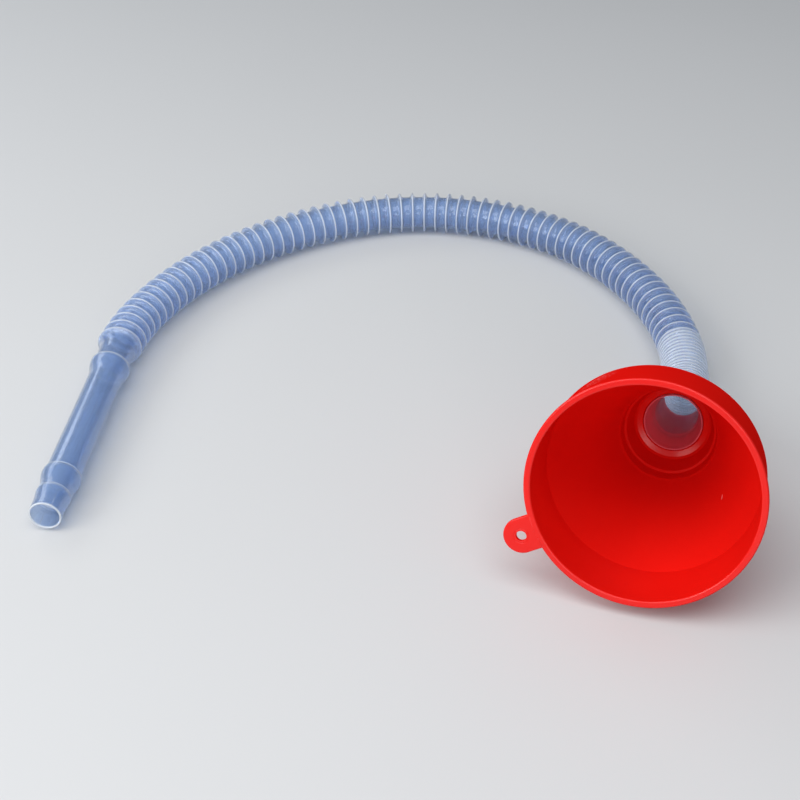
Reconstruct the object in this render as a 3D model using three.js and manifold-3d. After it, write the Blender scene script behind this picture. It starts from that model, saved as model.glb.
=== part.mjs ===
// A fluid funnel with a flexible hose. The red funnel lies on its side with its mouth towards -Y, and
// the clear corrugated hose leaves its neck and curls round over the floor to a smooth nozzle.
// Millimetres, +Z up, floor at z = 0, the origin under the middle of the funnel body.
import * as THREE from "three";
import { mergeVertices } from "three/addons/utils/BufferGeometryUtils.js";
import Module from "manifold-3d";

const wasm = await Module();
wasm.setup();
const { Manifold, Mesh } = wasm;

// Funnel body, measured from the mouth's plane along the funnel's axis
const MOUTH_RADIUS = 55; // outer edge of the lip
const LIP_WIDTH = 3.3; // flat face round the mouth
const LIP_THICKNESS = 2;
const BAND_DEPTH = 32; // the nearly straight band behind the lip
const BAND_END_RADIUS = 52.2; // outside, at the back of the band
const WALL = 1.8;
const CONE_END_RADIUS = 24.1; // inside, where the throat begins
const CONE_END_DEPTH = 88.8;
const LEDGE_RADIUS = 22.6; // small ledge where a strainer could sit
const LEDGE_DEPTH = 95.2;
const SHELF_RADIUS = 19.1; // outer edge of the throat's floor
const SHELF_DEPTH = 106.3;
const SOCKET_MOUTH_RADIUS = 15.4; // the socket that the hose's collar is pushed into
const SOCKET_MOUTH_DEPTH = 107.9;
const NECK_RADIUS = 12.75; // inside, where the socket becomes the neck
const NECK_DEPTH = 121.5;
const NECK_END_RADIUS = 11.1; // inside, at the neck's open end
const NECK_END_DEPTH = 149.4;
const TILT = THREE.MathUtils.degToRad(16.5); // the axis falls this much from the mouth to the neck

// Hanging tab, in the plane of the lip
const TAB_HOLE_DISTANCE = 61.2; // from the funnel's axis
const TAB_HOLE_RADIUS = 2.5;
const TAB_RADIUS = 8.6;
const TAB_ANGLE = THREE.MathUtils.degToRad(30); // below the horizontal, on the -X side
const TAB_THICKNESS = 2.2;

// Hose
const GAP = 0.3; // between neighbouring solids
const HOSE_RADIUS = 13; // over the ribs
const HOSE_BORE = 11.8;
const COLLAR_WALL = 0.9;
const GATHERED_LENGTH = 59.4; // 18 pleats that are pushed together
const RIB_PITCH = 8.04; // between open ribs
const RIBS = 63;
const FIRST_BEND = 17; // the first rib at which the hose bends
const RIBS_PER_BEND = 18;
const BEND_CLEARANCE = 0.6; // round the ball at each bend
const HOSE_SIDES = 12;
const HOSE_STEP = 14;

// Nozzle: length along its axis, and radii
const NOZZLE_LENGTH = 151.6;
const NOZZLE_WALL = 1;
const NOZZLE_DIRECTION = new THREE.Vector3(0.2146, -0.9764, -0.0215).normalize();
const TUBE_RADIUS = 9.35;
const TIP_RADIUS = 8.3;

const ROUND = 48; // sides of the funnel
const SMALL_ROUND = 24; // sides of the collar, the nozzle and the hose's balls

// The middle of the mouth. The funnel rests on the back edge of its band.
const MOUTH = new THREE.Vector3(
  3.3,
  -65.7,
  BAND_END_RADIUS * Math.cos(TILT) + BAND_DEPTH * Math.sin(TILT),
);

// Middle line of the hose from the neck's end to the nozzle, chosen by hand.
const ROUTE = [
  [3.3, 78.5, 16.4], [3.2, 84.2, 14.9], [2.8, 90, 13.9], [2.2, 96, 13.3], [1.3, 102, 13.1],
  [-3.8, 125.4, 13.1], [-12, 147.8, 13.1], [-23, 169.2, 13.1], [-36.6, 189, 13.1],
  [-52.4, 207, 13.1], [-70.2, 223, 13.1], [-90, 236.6, 13.1], [-111.5, 246.4, 13.1],
  [-134.4, 252.8, 13.1], [-158.2, 255.4, 13.1], [-182, 254, 13.1], [-205.1, 248.2, 13.1],
  [-226.7, 238.1, 13.1], [-246.3, 224.6, 13.1], [-263.7, 208.4, 13.1], [-278.9, 190.1, 13.1],
  [-292, 170.2, 13.1], [-302.5, 149, 13.1], [-310.8, 126.5, 13.1], [-316.2, 103.1, 13.1],
  [-319.1, 79.2, 13.1], [-319.3, 62, 13.1], [-317.4, 43, 13.1],
].map((point) => new THREE.Vector3(...point));
const route = new THREE.CatmullRomCurve3(ROUTE, false, "centripetal");
route.arcLengthDivisions = 2000;
const ROUTE_LENGTH = route.getLength();

// A stretch of the route, between two lengths from its start.
class Stretch extends THREE.Curve {
  constructor(from, to) {
    super();
    this.from = from / ROUTE_LENGTH;
    this.to = to / ROUTE_LENGTH;
  }
  getPoint(t, target = new THREE.Vector3()) {
    return route.getPointAt(this.from + (this.to - this.from) * t, target);
  }
}

function toSolid(geometry) {
  const bare = new THREE.BufferGeometry();
  const plain = geometry.index ? geometry.toNonIndexed() : geometry;
  bare.setAttribute("position", plain.getAttribute("position").clone());
  const merged = mergeVertices(bare, 1e-4);
  return new Manifold(
    new Mesh({
      numProp: 3,
      vertProperties: merged.attributes.position.array,
      triVerts: new Uint32Array(merged.index.array),
    }),
  );
}

function toGeometry(solid) {
  const { numProp, vertProperties, triVerts } = solid.getMesh();
  const positions = new Float32Array((vertProperties.length / numProp) * 3);
  for (let i = 0; i < positions.length / 3; i++) {
    positions.set(vertProperties.subarray(i * numProp, i * numProp + 3), i * 3);
  }
  const geometry = new THREE.BufferGeometry();
  geometry.setAttribute("position", new THREE.BufferAttribute(positions, 3));
  geometry.setIndex(new THREE.BufferAttribute(triVerts, 1));
  geometry.computeVertexNormals();
  return geometry;
}

// A closed solid of revolution about Y from [radius, depth] points; depth runs towards -Y.
function turned(points, sides) {
  const profile = points.map(([radius, depth]) => new THREE.Vector2(radius, -depth));
  return new THREE.LatheGeometry([...profile, profile[0]], sides);
}

function mesh(name, geometry, material) {
  const made = new THREE.Mesh(geometry, material);
  made.name = name;
  return made;
}

// One red moulding: lip, band, cone, throat, socket, neck and hanging tab
function funnelBody() {
  const slant = WALL / Math.cos(Math.atan2(50.4 - CONE_END_RADIUS, CONE_END_DEPTH - BAND_DEPTH));
  const inside = [
    [MOUTH_RADIUS - LIP_WIDTH, 0],
    [BAND_END_RADIUS - WALL, BAND_DEPTH - 1],
    [CONE_END_RADIUS + 0.9, CONE_END_DEPTH - 1.4],
    [CONE_END_RADIUS, CONE_END_DEPTH],
    [LEDGE_RADIUS + 0.5, LEDGE_DEPTH - 0.9],
    [LEDGE_RADIUS - 0.6, LEDGE_DEPTH],
    [SHELF_RADIUS + 0.4, SHELF_DEPTH - 1],
    [SHELF_RADIUS - 0.8, SHELF_DEPTH + 0.2],
    [SOCKET_MOUTH_RADIUS, SOCKET_MOUTH_DEPTH],
    [NECK_RADIUS, NECK_DEPTH],
    [NECK_END_RADIUS, NECK_END_DEPTH],
  ];
  const outside = [
    [NECK_END_RADIUS + WALL, NECK_END_DEPTH],
    [NECK_RADIUS + WALL, NECK_DEPTH],
    [SOCKET_MOUTH_RADIUS + WALL, SOCKET_MOUTH_DEPTH + WALL],
    [SHELF_RADIUS + WALL, SHELF_DEPTH + 1],
    [LEDGE_RADIUS + WALL, LEDGE_DEPTH + 0.5],
    [CONE_END_RADIUS + slant, CONE_END_DEPTH],
    [BAND_END_RADIUS, BAND_DEPTH],
    [MOUTH_RADIUS - 0.7, LIP_THICKNESS],
    [MOUTH_RADIUS, LIP_THICKNESS - 0.3],
    [MOUTH_RADIUS, 0.5],
    [MOUTH_RADIUS - 0.5, 0],
  ];
  const bowl = toSolid(turned([...inside, ...outside], ROUND));

  const outline = new THREE.Shape();
  const reach = TAB_HOLE_DISTANCE - MOUTH_RADIUS + 2;
  outline.moveTo(-reach, -TAB_RADIUS);
  outline.lineTo(0, -TAB_RADIUS);
  outline.absarc(0, 0, TAB_RADIUS, -Math.PI / 2, Math.PI / 2, false);
  outline.lineTo(-reach, TAB_RADIUS);
  outline.closePath();
  const hole = new THREE.Path();
  hole.absarc(0, 0, TAB_HOLE_RADIUS, 0, Math.PI * 2, true);
  outline.holes.push(hole);
  const flat = new THREE.ExtrudeGeometry(outline, {
    depth: TAB_THICKNESS,
    bevelEnabled: false,
    curveSegments: 10,
  });
  flat.rotateX(Math.PI / 2); // its face lies in the mouth's plane and its thickness behind it
  flat.translate(TAB_HOLE_DISTANCE, 0, 0);
  flat.rotateY(Math.PI + TAB_ANGLE);
  const tab = toSolid(flat);
  return toGeometry(bowl.add(tab));
}

// The hose's flared collar, pushed down the socket into the neck
function hoseCollar() {
  const outer = (radius) => radius - GAP;
  return turned(
    [
      [outer(SOCKET_MOUTH_RADIUS) - COLLAR_WALL, SOCKET_MOUTH_DEPTH - 0.2],
      [outer(NECK_RADIUS) - COLLAR_WALL, NECK_DEPTH],
      [outer(NECK_END_RADIUS) - COLLAR_WALL, NECK_END_DEPTH],
      [outer(NECK_END_RADIUS), NECK_END_DEPTH],
      [outer(NECK_RADIUS), NECK_DEPTH],
      [outer(SOCKET_MOUTH_RADIUS), SOCKET_MOUTH_DEPTH + 0.1],
      [outer(SOCKET_MOUTH_RADIUS) - 0.3, SOCKET_MOUTH_DEPTH - 0.2],
    ],
    SMALL_ROUND,
  );
}

// A solid rod along a stretch of the hose
function rod(from, to, radius) {
  const section = new THREE.Shape();
  section.absarc(0, 0, radius, 0, Math.PI * 2, false);
  const steps = Math.max(3, Math.round((to - from) / HOSE_STEP));
  return toSolid(
    new THREE.ExtrudeGeometry(section, {
      steps,
      curveSegments: HOSE_SIDES / 2, // a full turn takes twice this
      extrudePath: new Stretch(from, to),
    }),
  );
}

function ballAt(length, radius) {
  const centre = route.getPointAt(length / ROUTE_LENGTH);
  return toSolid(new THREE.SphereGeometry(radius, SMALL_ROUND, SMALL_ROUND / 2)).translate(centre.toArray());
}

// A short straight plug along the hose's line, which opens the end of a stretch
function boreAt(length) {
  const u = length / ROUTE_LENGTH;
  const along = route.getTangentAt(u);
  const geometry = new THREE.CylinderGeometry(HOSE_BORE, HOSE_BORE, 40, HOSE_SIDES);
  geometry.applyQuaternion(new THREE.Quaternion().setFromUnitVectors(new THREE.Vector3(0, 1, 0), along));
  return toSolid(geometry).translate(route.getPointAt(u).toArray());
}

// A length of hose. At a bend, the piece before it ends in a ball and the piece after it in a socket.
function hoseTube(from, to, { ball = false, socket = false } = {}) {
  let tube = rod(from, to, HOSE_RADIUS);
  if (ball) tube = tube.add(ballAt(to, HOSE_RADIUS - 0.05));
  tube = tube.subtract(rod(Math.max(0, from - 1), Math.min(ROUTE_LENGTH, to + 1), HOSE_BORE));
  if (ball) tube = tube.subtract(boreAt(to));
  if (socket) tube = tube.subtract(ballAt(from, HOSE_RADIUS + BEND_CLEARANCE));
  return toGeometry(tube);
}

// The smooth spout: a straight tube with three beads, stepped down to an open tip
function nozzle() {
  const bead = (middle, radius, crown, half) => [
    [radius, middle - half],
    [radius + crown, middle - half * 0.3],
    [radius + crown, middle + half * 0.3],
    [radius, middle + half],
  ];
  const outside = [
    [HOSE_RADIUS - 2.4, 0.2],
    [TUBE_RADIUS + 0.8, 4],
    [TUBE_RADIUS, 12],
    ...bead(23.5, TUBE_RADIUS, 1.8, 5),
    ...bead(122.5, TUBE_RADIUS - 0.1, 1.1, 3.5),
    [TIP_RADIUS + 0.4, 129],
    ...bead(137, TIP_RADIUS + 0.1, 0.6, 2.5),
    [TIP_RADIUS, NOZZLE_LENGTH - 0.4],
    [TIP_RADIUS - 0.2, NOZZLE_LENGTH],
  ];
  const inside = outside
    .map(([radius, along]) => [radius - NOZZLE_WALL - 0.1, along])
    .reverse();
  inside[0] = [TIP_RADIUS - NOZZLE_WALL, NOZZLE_LENGTH];
  inside[inside.length - 1] = [HOSE_RADIUS - 2.4 - NOZZLE_WALL, 0.2];
  return turned([...inside.reverse(), ...outside.reverse()], SMALL_ROUND);
}

const redPlastic = new THREE.MeshStandardMaterial({ color: 0xd61512, roughness: 0.28, metalness: 0 });
const clearPlastic = new THREE.MeshStandardMaterial({
  color: 0xc4d4ea,
  roughness: 0.2,
  metalness: 0,
  transparent: true,
  opacity: 0.55,
});

const funnelAxis = new THREE.Group(); // its +Y points out of the mouth
funnelAxis.position.copy(MOUTH);
funnelAxis.rotation.x = Math.PI - TILT;
funnelAxis.add(
  mesh("funnel_body", funnelBody(), redPlastic),
  mesh("hose_collar", hoseCollar(), clearPlastic),
);

const hose = new THREE.Group();
const ribAt = (n) => GATHERED_LENGTH + (n - 0.5) * RIB_PITCH;
const bends = [0, 1, 2].map((n) => ribAt(FIRST_BEND + n * RIBS_PER_BEND));
const hoseEnd = Math.min(ROUTE_LENGTH, ribAt(RIBS));
hose.add(mesh("hose_gathered", hoseTube(GAP, GATHERED_LENGTH - GAP), clearPlastic));
const joins = [GATHERED_LENGTH, ...bends, hoseEnd];
for (let n = 0; n < joins.length - 1; n++) {
  const ends = { ball: n < bends.length, socket: n > 0 };
  hose.add(mesh(`hose_length_${n + 1}`, hoseTube(joins[n], joins[n + 1], ends), clearPlastic));
}

const spout = new THREE.Group();
spout.position.copy(route.getPointAt(hoseEnd / ROUTE_LENGTH));
spout.quaternion.setFromUnitVectors(new THREE.Vector3(0, -1, 0), NOZZLE_DIRECTION);
spout.add(mesh("nozzle", nozzle(), clearPlastic));

const funnel = new THREE.Group();
funnel.add(funnelAxis, hose, spout);
export default funnel;
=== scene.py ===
import math

import bmesh
import bpy
import numpy as np
from mathutils import Matrix, Vector


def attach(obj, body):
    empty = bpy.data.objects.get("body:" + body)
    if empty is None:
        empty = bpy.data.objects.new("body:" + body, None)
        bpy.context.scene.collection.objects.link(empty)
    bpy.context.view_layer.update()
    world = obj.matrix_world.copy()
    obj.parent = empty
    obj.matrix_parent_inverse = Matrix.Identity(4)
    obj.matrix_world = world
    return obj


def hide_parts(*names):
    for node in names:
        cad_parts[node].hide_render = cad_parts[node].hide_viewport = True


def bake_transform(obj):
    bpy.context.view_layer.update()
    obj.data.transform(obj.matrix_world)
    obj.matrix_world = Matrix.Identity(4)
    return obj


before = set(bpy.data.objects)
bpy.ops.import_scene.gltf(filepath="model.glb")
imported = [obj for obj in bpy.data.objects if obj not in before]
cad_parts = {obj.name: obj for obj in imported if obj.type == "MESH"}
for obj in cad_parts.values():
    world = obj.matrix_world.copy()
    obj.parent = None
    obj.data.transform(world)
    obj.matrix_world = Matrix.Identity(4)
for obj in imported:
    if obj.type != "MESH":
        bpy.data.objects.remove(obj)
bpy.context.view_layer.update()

# ---------------------------------------------------------------- sizes
# In millimetres, apart from the points, the two marks, HOSE_DIAMETER and ROUTE, which are in metres.
MM = 0.001
TILT = math.radians(16.5)  # the funnel's axis falls this much from the mouth to the neck
BAND_DEPTH = 32
BAND_END_RADIUS = 52.2  # the funnel rests on this back edge of its band
MOUTH_HEIGHT = BAND_END_RADIUS * math.cos(TILT) + BAND_DEPTH * math.sin(TILT)
MOUTH = Vector((3.3, -65.7, MOUTH_HEIGHT)) * MM
INTO_MOUTH = Vector((0, math.cos(TILT), -math.sin(TILT)))
NECK_END_DEPTH = 149.4
BOWL_SIDES = 288
COLLAR_SIDES = 128

TAB_HOLE_DISTANCE = 61.2
TAB_HOLE_RADIUS = 2.5
TAB_GROOVE_END = 3.9  # radius just past the groove round the hole
TAB_RADIUS = 8.6
TAB_SOFT_EDGE = 1.6
TAB_ROOT = 52.8  # distance from the funnel's axis at which the tab ends inside the lip
TAB_THICKNESS = 2.2
TAB_SIDES = 144
TAB_TURN = math.radians(210)  # round the mouth from +X, seen from the front
SCUFF = (-0.0262, -0.0325, 0.0948)  # a worn patch on top of the band
SCUFF_REACH = (0.011, 0.012, 0.007)
GATE_MARK = (0.03517, -0.01152, 0.02445)  # a small mark inside the cone
GATE_MARK_ALONG = (0.021, -0.907, -0.421)
GATE_MARK_ACROSS = (-0.607, 0.323, -0.726)
GATE_MARK_HALF_LENGTH = 0.0017
GATE_MARK_HALF_WIDTH = 0.0003

GATHERED_LENGTH = 59.4
PLEATS = 18
RIBS = 63
# Crests of some ribs, (number from the neck, length along the hose). The others lie evenly between.
RIB_PLACES = ((1, 64.1), (10, 133.9), (16, 182.2), (31, 301.1), (40, 375.0), (50, 457.4))
RIB_JOINS = (10, 27, 44)  # ribs at which one piece of hose ends and the next begins
HOSE_SIDES = 72
BEAD_EDGE = 22.7  # from the last rib to the first bead's edge, where the spout begins

NOZZLE_LENGTH = 151.6
NOZZLE_SIDES = 96
NOZZLE_DIRECTION = Vector((0.2146, -0.9764, -0.0215)).normalized()

# Middle line of the hose from the neck's end to the nozzle: the points that the CAD solids follow.
ROUTE = np.array([
    (3.3, 78.5, 16.4), (3.2, 84.2, 14.9), (2.8, 90, 13.9), (2.2, 96, 13.3), (1.3, 102, 13.1),
    (-3.8, 125.4, 13.1), (-12, 147.8, 13.1), (-23, 169.2, 13.1), (-36.6, 189, 13.1),
    (-52.4, 207, 13.1), (-70.2, 223, 13.1), (-90, 236.6, 13.1), (-111.5, 246.4, 13.1),
    (-134.4, 252.8, 13.1), (-158.2, 255.4, 13.1), (-182, 254, 13.1), (-205.1, 248.2, 13.1),
    (-226.7, 238.1, 13.1), (-246.3, 224.6, 13.1), (-263.7, 208.4, 13.1), (-278.9, 190.1, 13.1),
    (-292, 170.2, 13.1), (-302.5, 149, 13.1), (-310.8, 126.5, 13.1), (-316.2, 103.1, 13.1),
    (-319.1, 79.2, 13.1), (-319.3, 62, 13.1), (-317.4, 43, 13.1),
]) * MM


# ---------------------------------------------------------------- camera
CAMERA_PLACE = (0.05978, -0.58246, 0.46989)
CAMERA_AIM = (-0.25668, 0.77795, -0.57351)
CAMERA_UP = (-0.16473, 0.54949, 0.8191)
SENSOR_WIDTH = 36  # millimetres, as is the lens
LENS = 65.45


def make_camera():
    """The photograph's viewing angle: from the front and a little right, looking down 35 degrees."""
    data = bpy.data.cameras.new("camera")
    data.sensor_width = SENSOR_WIDTH
    data.lens = LENS
    data.clip_start = 0.01
    data.clip_end = 20
    camera = bpy.data.objects.new("camera", data)
    forward = Vector(CAMERA_AIM).normalized()
    right = forward.cross(Vector(CAMERA_UP)).normalized()
    up = right.cross(forward)
    turn = Matrix((right, up, -forward)).transposed().to_4x4()
    camera.matrix_world = Matrix.Translation(CAMERA_PLACE) @ turn
    bpy.context.scene.collection.objects.link(camera)
    bpy.context.scene.camera = camera


# ---------------------------------------------------------------- node helpers
class Nodes:
    """Builds one Principled material. Inputs are given as numbers, colours or other nodes' outputs."""

    def __init__(self, name):
        self.material = bpy.data.materials.new(name)
        self.material.use_nodes = True
        self.tree = self.material.node_tree
        self.shader = self.tree.nodes["Principled BSDF"]

    def add(self, kind, inputs=None, **settings):
        node = self.tree.nodes.new(kind)
        for key, value in settings.items():
            setattr(node, key, value)
        for key, value in (inputs or {}).items():
            self.connect(node.inputs[key], value)
        return node

    def connect(self, socket, value):
        if isinstance(value, bpy.types.NodeSocket):
            self.tree.links.new(value, socket)
        else:
            socket.default_value = value

    def place(self):
        return self.add("ShaderNodeTexCoord").outputs["Object"]

    def noise(self, scale, detail=3.0, rough=0.5, vector=None):
        vector = vector or self.place()
        inputs = {"Vector": vector, "Scale": scale, "Detail": detail, "Roughness": rough}
        return self.add("ShaderNodeTexNoise", inputs).outputs["Fac"]

    def spread(self, value, low, high, to_low=0.0, to_high=1.0):
        """Maps low..high to to_low..to_high and holds the ends."""
        inputs = {
            "Value": value,
            "From Min": low,
            "From Max": high,
            "To Min": to_low,
            "To Max": to_high,
        }
        return self.add("ShaderNodeMapRange", inputs, clamp=True).outputs["Result"]

    def maths(self, operation, a, b=0.0):
        node = self.add("ShaderNodeMath", operation=operation)
        self.connect(node.inputs[0], a)
        self.connect(node.inputs[1], b)
        return node.outputs[0]

    def mix(self, factor, a, b):
        node = self.add("ShaderNodeMix", data_type="RGBA")
        self.connect(node.inputs[0], factor)
        self.connect(node.inputs[6], a)
        self.connect(node.inputs[7], b)
        return node.outputs[2]

    def bump(self, height, strength, distance, normal=None):
        inputs = {"Height": height, "Strength": strength, "Distance": distance}
        if normal:
            inputs["Normal"] = normal
        return self.add("ShaderNodeBump", inputs).outputs["Normal"]

    def near(self, place, reach):
        """1 at a point of the row frame, falling to 0 at the distances in reach."""
        away = self.add("ShaderNodeVectorMath", operation="SUBTRACT")
        self.connect(away.inputs[0], self.place())
        self.connect(away.inputs[1], place)
        share = self.add("ShaderNodeVectorMath", operation="DIVIDE")
        self.connect(share.inputs[0], away.outputs[0])
        self.connect(share.inputs[1], reach)
        length = self.add("ShaderNodeVectorMath", operation="LENGTH")
        self.connect(length.inputs[0], share.outputs[0])
        return self.spread(length.outputs["Value"], 0.4, 1.0, 1.0, 0.0)

    def streak(self, place, along, half_length, across, half_width):
        """1 on a short line about a point of the row frame, falling to 0 at its ends and sides.

        It has no limit in the third direction, so it shows on each wall that crosses that line.
        """
        away = self.add("ShaderNodeVectorMath", operation="SUBTRACT")
        self.connect(away.inputs[0], self.place())
        self.connect(away.inputs[1], place)
        shares = []
        for direction, reach in ((along, half_length), (across, half_width)):
            dot = self.add("ShaderNodeVectorMath", operation="DOT_PRODUCT")
            self.connect(dot.inputs[0], away.outputs[0])
            self.connect(dot.inputs[1], direction)
            share = self.maths("DIVIDE", dot.outputs["Value"], reach)
            shares.append(self.maths("MULTIPLY", share, share))
        return self.spread(self.maths("ADD", *shares), 0.3, 1.0, 1.0, 0.0)

    def set(self, **inputs):
        for key, value in inputs.items():
            self.connect(self.shader.inputs[key.replace("_", " ")], value)
        return self.material


def red_plastic():
    """Glossy injection-moulded polypropylene: even red, faint flow marks, a scuff and a gate mark."""
    n = Nodes("red_plastic")
    cloud = n.noise(14, 3)
    dark_red = (0.70, 0.0065, 0.004, 1)
    light_red = (0.78, 0.0095, 0.0055, 1)
    worn_red = (0.9, 0.36, 0.36, 1)
    colour = n.mix(n.spread(cloud, 0.3, 0.7), dark_red, light_red)
    scuff_patch = n.near(SCUFF, SCUFF_REACH)
    scuff_strength = 0.5
    gate_strength = 0.9
    scratches = n.spread(n.noise(700, 5, 0.75), 0.5, 0.68)
    worn = n.maths("MULTIPLY", scratches, scuff_patch)
    gate = n.streak(
        GATE_MARK, GATE_MARK_ALONG, GATE_MARK_HALF_LENGTH, GATE_MARK_ACROSS, GATE_MARK_HALF_WIDTH
    )
    scuffed = n.maths("MULTIPLY", worn, scuff_strength)
    gated = n.maths("MULTIPLY", gate, gate_strength)
    pale = n.maths("MAXIMUM", scuffed, gated)
    colour = n.mix(pale, colour, worn_red)
    haze = n.spread(n.noise(60, 4, 0.6), 0.3, 0.7, 0.24, 0.27)
    roughness = n.maths("ADD", haze, n.maths("MULTIPLY", pale, 0.3))
    # The gloss fades where the surface is seen edge on, so that the band doesn't mirror the pale floor.
    facing = n.add("ShaderNodeLayerWeight").outputs["Facing"]
    gloss = n.spread(facing, 0.3, 0.6, 0.45, 0.0)
    flow = n.bump(n.noise(22, 2), 1.0, 0.02 * MM)
    return n.set(
        Base_Color=colour,
        Roughness=roughness,
        IOR=1.45,
        Specular_IOR_Level=gloss,
        Normal=flow,
    )


# The painted highlights on ribs, bead edges, rims and parting lines also make the plastic less clear
# there.
CLARITY_LOST_TO_GLINT = 0.65


def clear_plastic(name, tint, clarity, roughness, cover, glint_strength=1.0, coat=0.8):
    """Soft blow-moulded polythene: milky clear, with painted highlights that make it paler at ribs, beads
    and rims.

    The tint is chosen for a pale floor and isn't the plastic's own colour. cover is how much of the
    light behind it the plastic holds back, whatever its clarity.
    """
    n = Nodes(name)
    cloud = n.noise(45, 3)
    # The attribute read here holds the painted highlights on ribs, bead edges, rims and parting lines.
    marked = n.add("ShaderNodeAttribute", attribute_name="painted_glint").outputs["Fac"]
    white = n.maths("MULTIPLY", marked, glint_strength)
    pale = tuple(min(1.0, c * 1.05) for c in tint[:3]) + (1,)
    glint_colour = (0.93, 0.96, 1.0, 1)
    colour = n.mix(n.spread(cloud, 0.3, 0.7), tint, pale)
    colour = n.mix(white, colour, glint_colour)
    clear = n.spread(white, 0, 1, clarity, clarity - CLARITY_LOST_TO_GLINT)
    rough = n.spread(n.noise(90, 4, 0.6), 0.3, 0.7, roughness * 0.75, roughness * 1.3)
    wavy = n.bump(n.noise(60, 1), 1.0, 0.005 * MM)
    fine = n.bump(n.noise(1100, 2), 1.0, 0.0005 * MM, wavy)
    return n.set(
        Base_Color=colour,
        Roughness=rough,
        IOR=1.25,
        Transmission_Weight=clear,
        Alpha=cover,
        Coat_Weight=coat,
        Coat_Roughness=0.12,
        Normal=fine,
    )


def floor_surface():
    n = Nodes("pale_floor")
    tone = n.mix(n.noise(3, 2), (0.60, 0.605, 0.61, 1), (0.62, 0.625, 0.63, 1))
    return n.set(Base_Color=tone, Roughness=0.6)


# ---------------------------------------------------------------- shape helpers
MOST_OF_A_SIDE = 0.48  # share of a side that the fillet at one of its ends may take
TINY = 1e-4
ROUNDING = 1e-6


def rounded(corners, close=True, arc_step=12, longest=2.5):
    """A fine profile from (radius, depth, fillet) corners.

    Each corner becomes an arc in steps of arc_step degrees, and each side is cut so that no step is
    over longest.
    """
    count = len(corners)
    points = []
    for i, (x, y, fillet) in enumerate(corners):
        here = Vector((x, y))
        if not close and i in (0, count - 1):
            points.append(here)
            continue
        before = Vector(corners[i - 1][:2]) - here
        after = Vector(corners[(i + 1) % count][:2]) - here
        half = before.angle(after) / 2
        turn = math.pi - 2 * half
        reach = fillet / math.tan(half) if turn > TINY else 0
        reach = min(reach, MOST_OF_A_SIDE * before.length, MOST_OF_A_SIDE * after.length)
        radius = reach * math.tan(half)
        if radius < TINY:
            points.append(here)
            continue
        inward = (before.normalized() + after.normalized()).normalized()
        centre = here + inward * (radius / math.sin(half))
        start = here + before.normalized() * reach - centre
        finish = here + after.normalized() * reach - centre
        steps = max(2, math.ceil(math.degrees(turn) / arc_step))
        for k in range(steps + 1):
            part = k / steps
            spoke = start * math.sin((1 - part) * turn) + finish * math.sin(part * turn)
            points.append(centre + spoke / math.sin(turn))
    fine = []
    last = len(points) if close else len(points) - 1
    for i in range(last):
        a, b = points[i], points[(i + 1) % len(points)]
        pieces = max(1, math.ceil((b - a).length / longest))
        fine += [a.lerp(b, k / pieces) for k in range(pieces)]
    if not close:
        fine.append(points[-1])
    return [(p.x, p.y) for p in fine]


def grid_mesh(name, rings):
    """A closed mesh from equal rings of points, the last ring joined to the first."""
    rings = np.asarray(rings, float)
    rows, sides = rings.shape[:2]
    row = np.arange(rows)[:, None]
    side = np.arange(sides)[None, :]
    next_row = (row + 1) % rows
    next_side = (side + 1) % sides
    corners = [
        row * sides + side,
        row * sides + next_side,
        next_row * sides + next_side,
        next_row * sides + side,
    ]
    faces = np.stack([np.broadcast_to(c, (len(row), sides)) for c in corners], -1)
    mesh = bpy.data.meshes.new(name)
    mesh.from_pydata(rings.reshape(-1, 3).tolist(), [], faces.reshape(-1, 4).tolist())
    mesh.validate()
    made = bpy.data.objects.new(name, mesh)
    bpy.context.scene.collection.objects.link(made)
    face_out(mesh)
    return made


def face_out(mesh):
    """Turns the faces outwards and shades them smooth."""
    bm = bmesh.new()
    bm.from_mesh(mesh)
    bmesh.ops.recalc_face_normals(bm, faces=bm.faces)
    for face in bm.faces:
        face.smooth = True
    bm.to_mesh(mesh)
    bm.free()


def ring(radius, angles, height):
    """Points round the local Z axis, from sizes in mm. radius is one number or one for each angle."""
    level = np.full(len(angles), height)
    return np.stack([radius * np.cos(angles), radius * np.sin(angles), level], -1) * MM


def turned(name, profile, sides):
    """A closed solid turned about the local Z axis from (radius, depth) points, depth towards -Z."""
    angles = np.linspace(0, 2 * math.pi, sides, endpoint=False)
    return grid_mesh(name, [ring(radius, angles, -depth) for radius, depth in profile])


def mouth_frame():
    """Local X stays +X, local Y is up in the mouth's plane and local -Z runs into the funnel."""
    x = Vector((1, 0, 0))
    z = -INTO_MOUTH
    y = z.cross(x)
    return Matrix.Translation(MOUTH) @ Matrix((x, y, z)).transposed().to_4x4()


def settle(obj, matrix):
    """Moves the mesh itself into the row frame."""
    obj.data.transform(matrix)
    obj.data.update()
    return obj


def finish_piece(obj, material):
    """Gives the piece its one material."""
    obj.data.materials.clear()
    obj.data.materials.append(material)
    return obj


# ---------------------------------------------------------------- hose
def catmull_rom(points, steps):
    """Dense points on the centripetal Catmull-Rom curve through points."""
    padded = np.vstack([2 * points[0] - points[1], points, 2 * points[-1] - points[-2]])
    t = np.linspace(0, 1, steps, endpoint=False)[:, None]
    dense = []
    for i in range(1, len(padded) - 2):
        p0, p1, p2, p3 = padded[i - 1 : i + 3]
        d0, d1, d2 = (math.sqrt(np.linalg.norm(b - a)) for a, b in ((p0, p1), (p1, p2), (p2, p3)))
        m1 = ((p1 - p0) / d0 - (p2 - p0) / (d0 + d1) + (p2 - p1) / d1) * d1
        m2 = ((p2 - p1) / d1 - (p3 - p1) / (d1 + d2) + (p3 - p2) / d2) * d1
        c2 = -3 * p1 + 3 * p2 - 2 * m1 - m2
        c3 = 2 * p1 - 2 * p2 + m1 + m2
        dense.append(p1 + m1 * t + c2 * t**2 + c3 * t**3)
    dense.append(points[-1:])
    return np.vstack(dense)


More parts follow.
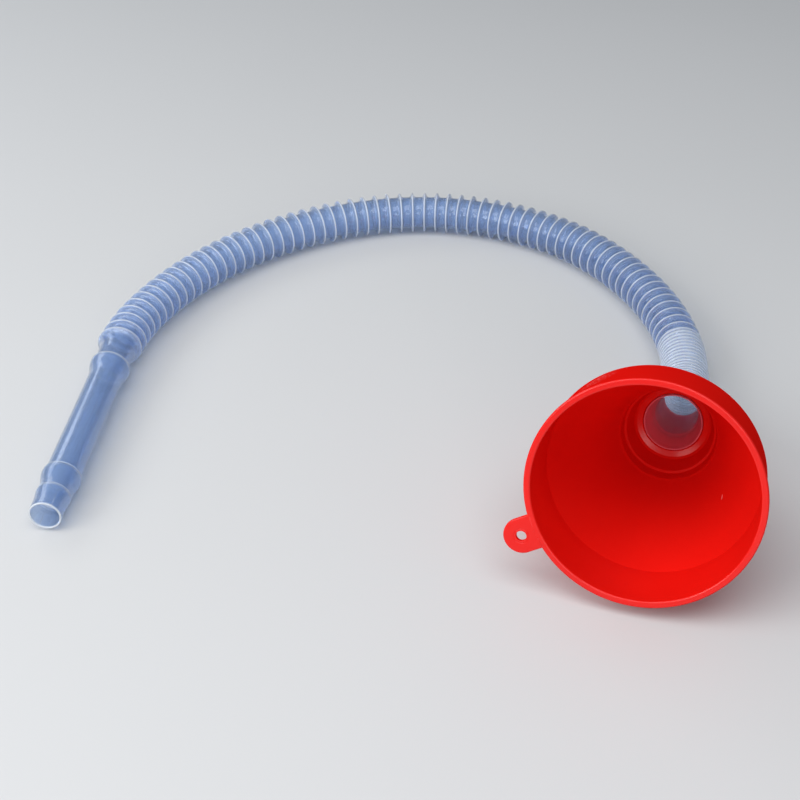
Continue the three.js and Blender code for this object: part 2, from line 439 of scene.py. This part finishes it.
STEPS_PER_POINT = 60  # of the middle line
PAST_THE_HOSE = 40  # how far the line runs on into the nozzle
LINE = catmull_rom(ROUTE, STEPS_PER_POINT)
HOSE_END = float(np.linalg.norm(np.diff(LINE, axis=0), axis=1).sum()) / MM  # at the last rib
LINE = np.vstack([LINE, LINE[-1] + np.array(NOZZLE_DIRECTION) * PAST_THE_HOSE * MM])
ALONG = np.concatenate([[0], np.cumsum(np.linalg.norm(np.diff(LINE, axis=0), axis=1))]) / MM


def line_at(s):
    """Points of the middle line at lengths s in mm from its start."""
    return np.stack([np.interp(s, ALONG, LINE[:, k]) for k in range(3)], -1)


def smooth_step(x):
    """0 below 0 and 1 above 1, with a smooth rise between."""
    x = np.clip(x, 0, 1)
    return x * x * (3 - 2 * x)


HALF_SPAN = 4  # the direction at a place is taken from the line this far to each side of it
NECK_TURN = 12  # over this length from the neck the hose turns out of the neck's direction
TIP_TURN = 24  # and over this length before the last rib it turns into the nozzle's


def directions(s):
    """Unit directions of the hose at lengths s."""
    s = np.asarray(s, float)
    d = line_at(s + HALF_SPAN) - line_at(np.maximum(s - HALF_SPAN, 0))
    d /= np.linalg.norm(d, axis=1)[:, None]
    neck = smooth_step((NECK_TURN - s) / NECK_TURN)[:, None]
    tip = smooth_step((s - (HOSE_END - TIP_TURN)) / TIP_TURN)[:, None]
    d = d * (1 - neck) * (1 - tip) + np.array(INTO_MOUTH) * neck + np.array(NOZZLE_DIRECTION) * tip
    return d / np.linalg.norm(d, axis=1)[:, None]


def rib_at(number):
    """Length from the hose's start to a rib's crest, counting from 1."""
    numbers, places = zip(*RIB_PLACES, (RIBS, HOSE_END))
    return float(np.interp(number, numbers, places))


RIB_REACH = 4  # a rib's profile ends nearer to its crest than this
# Half of a rib, (distance from the crest, radius), outside and inside of the thin wall
RIB_OUTSIDE = (
    (0, 13.0), (0.26, 12.95), (0.47, 12.76), (0.64, 12.42), (0.9, 11.8), (1.15, 11.2),
    (1.42, 10.72), (1.75, 10.42), (2.15, 10.24), (2.8, 10.16), (3.8, 10.12),
)
RIB_INSIDE = (
    (0, 12.3), (0.18, 12.2), (0.36, 11.9), (0.6, 11.2), (0.86, 10.5), (1.14, 10.02),
    (1.5, 9.76), (2.0, 9.62), (2.8, 9.55), (3.8, 9.53),
)
# Half of a closed pleat, the distances as shares of half a pleat
PLEAT_OUTSIDE = ((0, 13.0), (0.3, 12.92), (0.55, 12.55), (0.75, 11.8), (0.9, 11.2), (1, 11.05))
PLEAT_INSIDE = ((0, 12.2), (0.12, 12.05), (0.3, 11.2), (0.5, 10.4), (0.72, 10.02), (1, 9.9))
# The hose's first edge at the neck, (length, radius), before the pleats
ROOT_OUTSIDE = ((0, 10.8), (0.25, 11.1))
ROOT_INSIDE = ((0, 9.85), (0.25, 9.87))
ROOT_LENGTH = 0.4
PLEATS_TO_RIBS = 0.7  # from the last pleat to where the ribs' profile begins
# From the last rib to the first bead's edge, (radius, distance, fillet)
NECK_OUTSIDE = (
    (12.95, 0.3, 0), (12.6, 0.9, 0.4), (11.3, 2.6, 1.5), (10.3, 6, 3), (10.0, 14, 6),
    (10.15, 19.5, 2), (10.45, 21.4, 0.4), (11.3, 22.1, 0.25), (11.45, BEAD_EDGE, 0),
)
NECK_INSIDE = (
    (12.2, 0.2, 0), (11.9, 0.7, 0.4), (10.7, 2.4, 1.5), (9.65, 6, 3), (9.35, 14, 6),
    (9.5, 19.5, 2), (9.9, 21.4, 0.6), (10.75, BEAD_EDGE, 0),
)


def wave(crests, half, spacing, first, last):
    """(length, radius) points over a row of crests, between two lengths."""
    points = []
    for crest in crests:
        points += [(crest - gap * spacing, radius) for gap, radius in reversed(half[1:])]
        points += [(crest + gap * spacing, radius) for gap, radius in half]
    kept = [p for p in points if first - ROUNDING <= p[0] <= last + ROUNDING]
    return [p for i, p in enumerate(kept) if i == 0 or p[0] - kept[i - 1][0] > TINY]


def hose_profile(first, last):
    """Outside and inside (length, radius) points of the hose between two lengths."""
    outside, inside = [], []
    pleat = GATHERED_LENGTH / PLEATS
    rib_start = first
    if first < GATHERED_LENGTH:
        crests = [(k + 0.5) * pleat for k in range(PLEATS)]
        span = (ROOT_LENGTH, GATHERED_LENGTH)
        outside += [*ROOT_OUTSIDE, *wave(crests, PLEAT_OUTSIDE, pleat / 2, *span)]
        inside += [*ROOT_INSIDE, *wave(crests, PLEAT_INSIDE, pleat / 2, *span)]
        rib_start = GATHERED_LENGTH + PLEATS_TO_RIBS
    crests = [rib_at(k) for k in range(1, RIBS + 1)]
    ribs = [crest for crest in crests if first - RIB_REACH < crest < last + RIB_REACH]
    rib_end = min(last, HOSE_END)
    outside += wave(ribs, RIB_OUTSIDE, 1, rib_start, rib_end)
    inside += wave(ribs, RIB_INSIDE, 1, rib_start, rib_end)
    if last > HOSE_END:
        for side, corners in ((outside, NECK_OUTSIDE), (inside, NECK_INSIDE)):
            side += [(HOSE_END + s, r) for r, s in rounded(corners, close=False, longest=1.5)]
    return outside, inside


LAST_RIB_REACH = 3  # past the last rib's crest the ribs' painted highlight ends
BEAD_GLINT_REACH = 0.5


def sweep(name, loop):
    """A closed mesh swept along the hose from a loop of (length, radius) points, in mm."""
    s = np.array([p[0] for p in loop])
    radius = np.array([p[1] for p in loop])
    centre = line_at(s)
    d = directions(s)
    side = np.cross(d, (0, 0, 1))
    side /= np.linalg.norm(side, axis=1)[:, None]
    up = np.cross(side, d)
    angles = np.linspace(0, 2 * math.pi, HOSE_SIDES, endpoint=False)
    cos = np.cos(angles)[None, :, None]
    sin = np.sin(angles)[None, :, None]
    spokes = side[:, None] * cos + up[:, None] * sin
    made = grid_mesh(name, centre[:, None] + spokes * radius[:, None, None] * MM)
    # Painted highlight on the ribs and at the first bead's edge.
    at_bead = near_edge(s, (HOSE_END + BEAD_EDGE,), BEAD_GLINT_REACH)
    edge = np.where(s > HOSE_END + LAST_RIB_REACH, at_bead, painted_rib_glint(radius))
    paint_edge_glints(made, np.repeat(edge, HOSE_SIDES))
    return made


def painted_rib_glint(radius):
    """Painted highlight: the flanks are a little whiter than the valleys and the crests whiter still."""
    flank_start, flank_rise, flank_glint = 10.4, 0.8, 0.25
    crest_start, crest_rise, crest_glint = 12.4, 0.5, 0.6
    flank = flank_glint * smooth_step((radius - flank_start) / flank_rise)
    crest = crest_glint * smooth_step((radius - crest_start) / crest_rise)
    return flank + crest


def near_edge(along, edges, reach):
    """1 at each edge, falling to 0 within reach mm of it."""
    along = np.asarray(along, float)
    return np.clip(sum(np.exp(-(((along - e) / reach) ** 2)) for e in edges), 0, 1)


def paint_edge_glints(made, edge):
    """Stores, per vertex, how much painted highlight pales the plastic."""
    attribute = made.data.attributes.new("painted_glint", "FLOAT", "POINT")
    attribute.data.foreach_set("value", np.asarray(edge).astype(np.float32))


def hose_piece(name, first, last):
    """A thin-walled corrugated stretch of hose between two lengths in mm."""
    outside, inside = hose_profile(first, last)
    return sweep(name, outside + inside[::-1])


def point_at(s):
    """One point of the middle line, as plain numbers."""
    return tuple(float(x) for x in line_at(np.array([s]))[0])


def make_hose():
    """Four lengths of hose, each bending over one joint, from the neck's end to the nozzle."""
    stood_for = [
        ("hose_gathered", "hose_length_1"),
        ("hose_length_2",),
        ("hose_length_3",),
        ("hose_length_4",),
    ]
    ends = [0] + [rib_at(k) for k in RIB_JOINS] + [HOSE_END + BEAD_EDGE]
    made = []
    for k in range(4):
        piece = hose_piece(f"hose_part_{k + 1}", ends[k], ends[k + 1])
        finish_piece(piece, hose_plastic)
        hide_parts(*stood_for[k])
        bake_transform(piece)
        made.append((piece, ends[k], ends[k + 1]))
    paint_pleats_paler(made[0][0])
    return made


PAINTED_PLEAT_REACH = 0.4 * MM  # how far the pleats' painted paler plastic runs on past the last pleat


def paint_pleats_paler(piece):
    """The closed pleats get a paler, less clear plastic: painted brightness for the light they scatter.
    """
    piece.data.materials.append(painted_pale_pleat_plastic)
    mesh = piece.data
    centres = np.zeros(len(mesh.polygons) * 3)
    mesh.polygons.foreach_get("center", centres)
    end = np.array(point_at(GATHERED_LENGTH))
    past = (centres.reshape(-1, 3) - end) @ directions([GATHERED_LENGTH])[0]
    mesh.polygons.foreach_set("material_index", (past < PAINTED_PLEAT_REACH).astype(np.int32))


# ---------------------------------------------------------------- nozzle
PARTING_ANGLES = (math.radians(58), math.radians(238))
PARTING_STEPS = (-0.05, -0.03, -0.016, 0, 0.016, 0.03, 0.05)  # radians, fine sides about each line
PARTING_CLEAR = 0.06  # radians without other sides
PARTING_WIDTH = 0.014  # radians
PARTING_OUT = 0.1  # height of the line outside
PARTING_IN = -0.15  # and inside
PARTING_RISE = 6  # length over which the line rises, from the first bead on
# Painted highlights along the parting lines, stronger near the tip, and on the rims and bead edges.
PARTING_GLINT = 0.15
TIP_GLINT = 0.6  # added to the parting lines' at the tip
TIP_GLINT_START = 140
TIP_GLINT_RISE = 8
RIM_GLINT_REACH = 0.45
SPOUT_EDGES = (BEAD_EDGE, 120.9, 136.0, NOZZLE_LENGTH)
SPOUT_OUTSIDE = (
    (11.45, BEAD_EDGE, 0), (11.4, 24.6, 1), (10.95, 27, 2), (9.9, 31, 3), (9.48, 35, 3),
    (9.35, 60, 20), (9.3, 119.4, 0.6), (9.5, 120.2, 0.2), (10.35, 120.6, 0.2), (10.4, 123.4, 1.2),
    (9.6, 127.2, 1.2), (8.8, 130.6, 1.5), (8.65, 135.1, 0.4), (9.05, 135.8, 0.2), (9.1, 137.6, 1),
    (8.6, 141, 1.5), (8.35, 145, 4), (8.3, NOZZLE_LENGTH, 0.2),
)
SPOUT_INSIDE = (
    (7.5, NOZZLE_LENGTH, 0.2), (7.55, 145, 4), (7.8, 140.8, 1.5), (8.3, 137.4, 0.8), (8.3, 136.2, 0.3),
    (7.85, 135, 0.5), (8.0, 130.4, 1.5), (8.8, 127, 1.2), (9.6, 123.2, 1), (9.6, 121.2, 0.3),
    (8.7, 120, 0.5), (8.55, 119, 1), (8.6, 60, 20), (8.75, 35, 3), (9.15, 31, 3),
    (10.25, 26.9, 2), (10.7, 24.6, 1), (10.75, BEAD_EDGE, 0),
)


def make_nozzle():
    """The smooth spout, from the first bead to its square-cut tip, with two parting lines."""
    outside = rounded(SPOUT_OUTSIDE, close=False, longest=1.6)
    inside = rounded(SPOUT_INSIDE, close=False, longest=1.6)
    round_turn = 2 * math.pi
    angles = [round_turn * k / NOZZLE_SIDES for k in range(NOZZLE_SIDES)]
    for seam in PARTING_ANGLES:
        angles = [a for a in angles if abs(math.remainder(a - seam, round_turn)) > PARTING_CLEAR]
        angles += [seam + step for step in PARTING_STEPS]
    angles = np.array(sorted(angles))
    gaps = [np.remainder(angles - seam + math.pi, round_turn) - math.pi for seam in PARTING_ANGLES]
    ridge = sum(np.exp(-((gap / PARTING_WIDTH) ** 2)) for gap in gaps)
    rings, painted_glint = [], []
    for profile, height in ((outside, PARTING_OUT), (inside, PARTING_IN)):
        for radius, along in profile:
            rise = float(smooth_step((along - BEAD_EDGE) / PARTING_RISE))
            rings.append(ring(radius + height * ridge * rise, angles, along))
            # Painted highlights on the rims and bead edges and along the parting lines.
            rim = float(near_edge(along, SPOUT_EDGES, RIM_GLINT_REACH))
            at_tip = float(smooth_step((along - TIP_GLINT_START) / TIP_GLINT_RISE))
            line = PARTING_GLINT + TIP_GLINT * at_tip
            painted_glint.append(np.maximum(rim, ridge * line))
    spout = grid_mesh("nozzle_spout", rings)
    paint_edge_glints(spout, np.concatenate(painted_glint))
    z = NOZZLE_DIRECTION
    x = z.cross(Vector((0, 0, 1))).normalized()
    y = z.cross(x)
    settle(spout, Matrix.Translation(point_at(HOSE_END)) @ Matrix((x, y, z)).transposed().to_4x4())
    face_out(spout.data)
    finish_piece(spout, nozzle_plastic)
    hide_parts("nozzle")
    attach(spout, "hose_nozzle_end")
    return spout


# ---------------------------------------------------------------- funnel
def make_funnel():
    """One red moulding: rolled lip, band, cone, stepped throat, neck and hanging tab."""
    corners = [
        (51.75, 0, 1.0), (50.4, 31.2, 1.6), (25.0, 87.3, 0.9), (24.1, 88.7, 0.5),
        (23.15, 94.4, 0.35), (22.0, 95.2, 0.5), (19.5, 105.4, 0.6), (18.4, 106.5, 0.5),
        (15.5, 107.6, 0.6), (12.85, 120.6, 0.6), (12.5, 122.2, 0.6), (11.1, NECK_END_DEPTH, 0.5),
        (12.9, NECK_END_DEPTH, 0.5), (14.5, 122, 1.5), (17.2, 109.9, 1.2), (20.9, 107.6, 1.2),
        (24.5, 95.9, 1.2), (26.1, 88.8, 2.5), (BAND_END_RADIUS, BAND_DEPTH, 1.6), (54.05, 2.9, 0.7),
        (55, 1.9, 0.45), (55, 0, 0.85),
    ]
    bowl = turned("funnel_moulding", rounded(corners, arc_step=10, longest=2.2), BOWL_SIDES)
    tab = make_tab()
    fuse(bowl, tab)
    settle(bowl, mouth_frame())
    face_out(bowl.data)
    soften_joins(bowl)
    finish_piece(bowl, red_material)
    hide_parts("funnel_body")
    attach(bowl, "funnel")
    return bowl


def make_tab():
    """The flat tab in the mouth's frame, with a shallow groove round its hanging hole and soft edges."""
    angles = np.linspace(0, 2 * math.pi, TAB_SIDES, endpoint=False)
    root = TAB_HOLE_DISTANCE - TAB_ROOT
    reach = np.full(len(angles), TAB_RADIUS)
    for k, a in enumerate(angles):
        if math.cos(a) < 0:
            to_side = TAB_RADIUS / max(abs(math.sin(a)), ROUNDING)
            to_root = root / max(-math.cos(a), ROUNDING)
            reach[k] = min(to_side, to_root)
    back = -TAB_THICKNESS
    section = rounded([
        (TAB_HOLE_RADIUS, 0, 0.25), (3.3, 0, 0.1), (3.5, -0.2, 0.1), (3.7, 0, 0.1),
        (TAB_RADIUS, 0, 0.6), (TAB_RADIUS, back, 0.6), (TAB_HOLE_RADIUS, back, 0.25),
    ], arc_step=15, longest=1.2)
    rings = []
    for base, height in section:
        share = (base - TAB_GROOVE_END) / (TAB_RADIUS - TAB_SOFT_EDGE - TAB_GROOVE_END)
        share = min(1.0, max(0.0, share))
        rings.append(ring(base + share * (reach - TAB_RADIUS), angles, height))
    tab = grid_mesh("tab", rings)
    outwards = Matrix.Translation((TAB_HOLE_DISTANCE * MM, 0, 0))
    settle(tab, Matrix.Rotation(TAB_TURN, 4, "Z") @ outwards)
    return tab


def fuse(base, other):
    """Joins other into base as one closed mesh."""
    union = base.modifiers.new("union", "BOOLEAN")
    union.operation = "UNION"
    union.solver = "EXACT"
    union.object = other
    with bpy.context.temp_override(object=base, active_object=base, selected_objects=[base]):
        bpy.ops.object.modifier_apply(modifier="union")
    bpy.data.objects.remove(other)


def soften_joins(obj):
    """Lets the larger faces set the shading, so that the small ones beside them don't show."""
    modifier = obj.modifiers.new("even_normals", "WEIGHTED_NORMAL")
    modifier.keep_sharp = True


# ---------------------------------------------------------------- collar
def make_collar():
    """The hose's smooth cuff, which lines the socket and the neck and ends in a flared rim."""
    cuff_end = NECK_END_DEPTH + 1
    outside = [
        (9.9, cuff_end, 0), (10.8, cuff_end, 0), (10.8, 149.2, 1), (12.2, 122.4, 0.5), (12.5, 121.3, 0.5),
        (14.85, 110.6, 0.8), (15.15, 107.6, 0.3), (14.9, 107.2, 0.25), (14.35, 107.25, 0.25),
    ]
    inside = [
        (13.95, 110.7, 0.8), (12.1, 118.2, 0.5), (11.85, 121.3, 0.5), (11.3, 122.4, 0.5),
        (9.9, 149.2, 1),
    ]
    profile = rounded(outside + inside, arc_step=15, longest=1.5)
    collar = turned("hose_cuff", profile, COLLAR_SIDES)
    settle(collar, mouth_frame())
    face_out(collar.data)
    finish_piece(collar, cuff_plastic)
    collar.visible_shadow = False  # clear: the red socket behind it stays lit
    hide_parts("hose_collar")
    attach(collar, "hose_neck_end")
    return collar


# ---------------------------------------------------------------- floor and light
def make_stage():
    """A plain pale floor at z = 0."""
    reach = 6.0
    corners = [(-reach, -reach, 0), (reach, -reach, 0), (reach, reach, 0), (-reach, reach, 0)]
    mesh = bpy.data.meshes.new("floor")
    mesh.from_pydata(corners, [], [(0, 1, 2, 3)])
    floor = bpy.data.objects.new("floor", mesh)
    mesh.materials.append(floor_surface())
    bpy.context.scene.collection.objects.link(floor)


def area_light(name, place, target, width, height, power, colour=(1, 1, 1)):
    """A soft box of width by height metres and power watts, facing its target."""
    data = bpy.data.lights.new(name, "AREA")
    data.shape = "RECTANGLE"
    data.size = width
    data.size_y = height
    data.energy = power
    data.color = colour
    light = bpy.data.objects.new(name, data)
    light.location = place
    light.rotation_mode = "QUATERNION"
    light.rotation_quaternion = (Vector(target) - Vector(place)).to_track_quat("-Z", "Y")
    bpy.context.scene.collection.objects.link(light)


def make_lights():
    """Four soft boxes and a dim surround."""
    middle = (-0.12, 0.08, 0.03)
    bowl = (0, 0, 0.05)
    area_light("key", (-1.0, -0.95, 0.8), middle, width=1.2, height=0.8, power=12.5)
    area_light("top", (-0.15, -0.4, 1.45), middle, width=1.8, height=0.9, power=15)
    cool = (0.93, 0.97, 1)
    area_light("back", (-1.2, 0.45, 0.75), middle, width=0.9, height=0.5, power=3, colour=cool)
    area_light("fill", (0.35, -1.35, 0.55), bowl, width=0.8, height=0.5, power=4.5)
    world = bpy.data.worlds.new("surround")
    world.use_nodes = True
    background = world.node_tree.nodes["Background"]
    background.inputs["Color"].default_value = (0.86, 0.92, 1, 1)
    background.inputs["Strength"].default_value = 0.26
    bpy.context.scene.world = world


# ---------------------------------------------------------------- assembly
make_camera()
bpy.context.scene.view_settings.view_transform = "Standard"
bpy.context.scene.cycles.max_bounces = 40
bpy.context.scene.cycles.transmission_bounces = 40

red_material = red_plastic()
hose_plastic = clear_plastic(
    "hose_plastic", tint=(0.43, 0.59, 0.88, 1), clarity=0.9, roughness=0.15, cover=0.72
)
# The pleats' paler tint is painted brightness for the light that the stacked pleats scatter.
painted_pale_pleat_plastic = clear_plastic(
    "painted_pale_pleat_plastic",
    tint=(0.66, 0.78, 0.98, 1),
    clarity=0.7,
    roughness=0.22,
    cover=0.55,
    glint_strength=0.9,
)
nozzle_plastic = clear_plastic(
    "nozzle_plastic", tint=(0.42, 0.58, 0.86, 1), clarity=0.88, roughness=0.15, cover=0.72
)
# The cuff is the same clear plastic. Its tint stands in for the red socket that shows through it.
cuff_plastic = clear_plastic(
    "cuff_plastic",
    tint=(0.92, 0.18, 0.24, 1),
    clarity=0.25,
    roughness=0.45,
    cover=0.85,
    coat=0.1,
)

hose_parts = make_hose()
nozzle_spout = make_nozzle()
make_collar()
make_funnel()
make_stage()
make_lights()
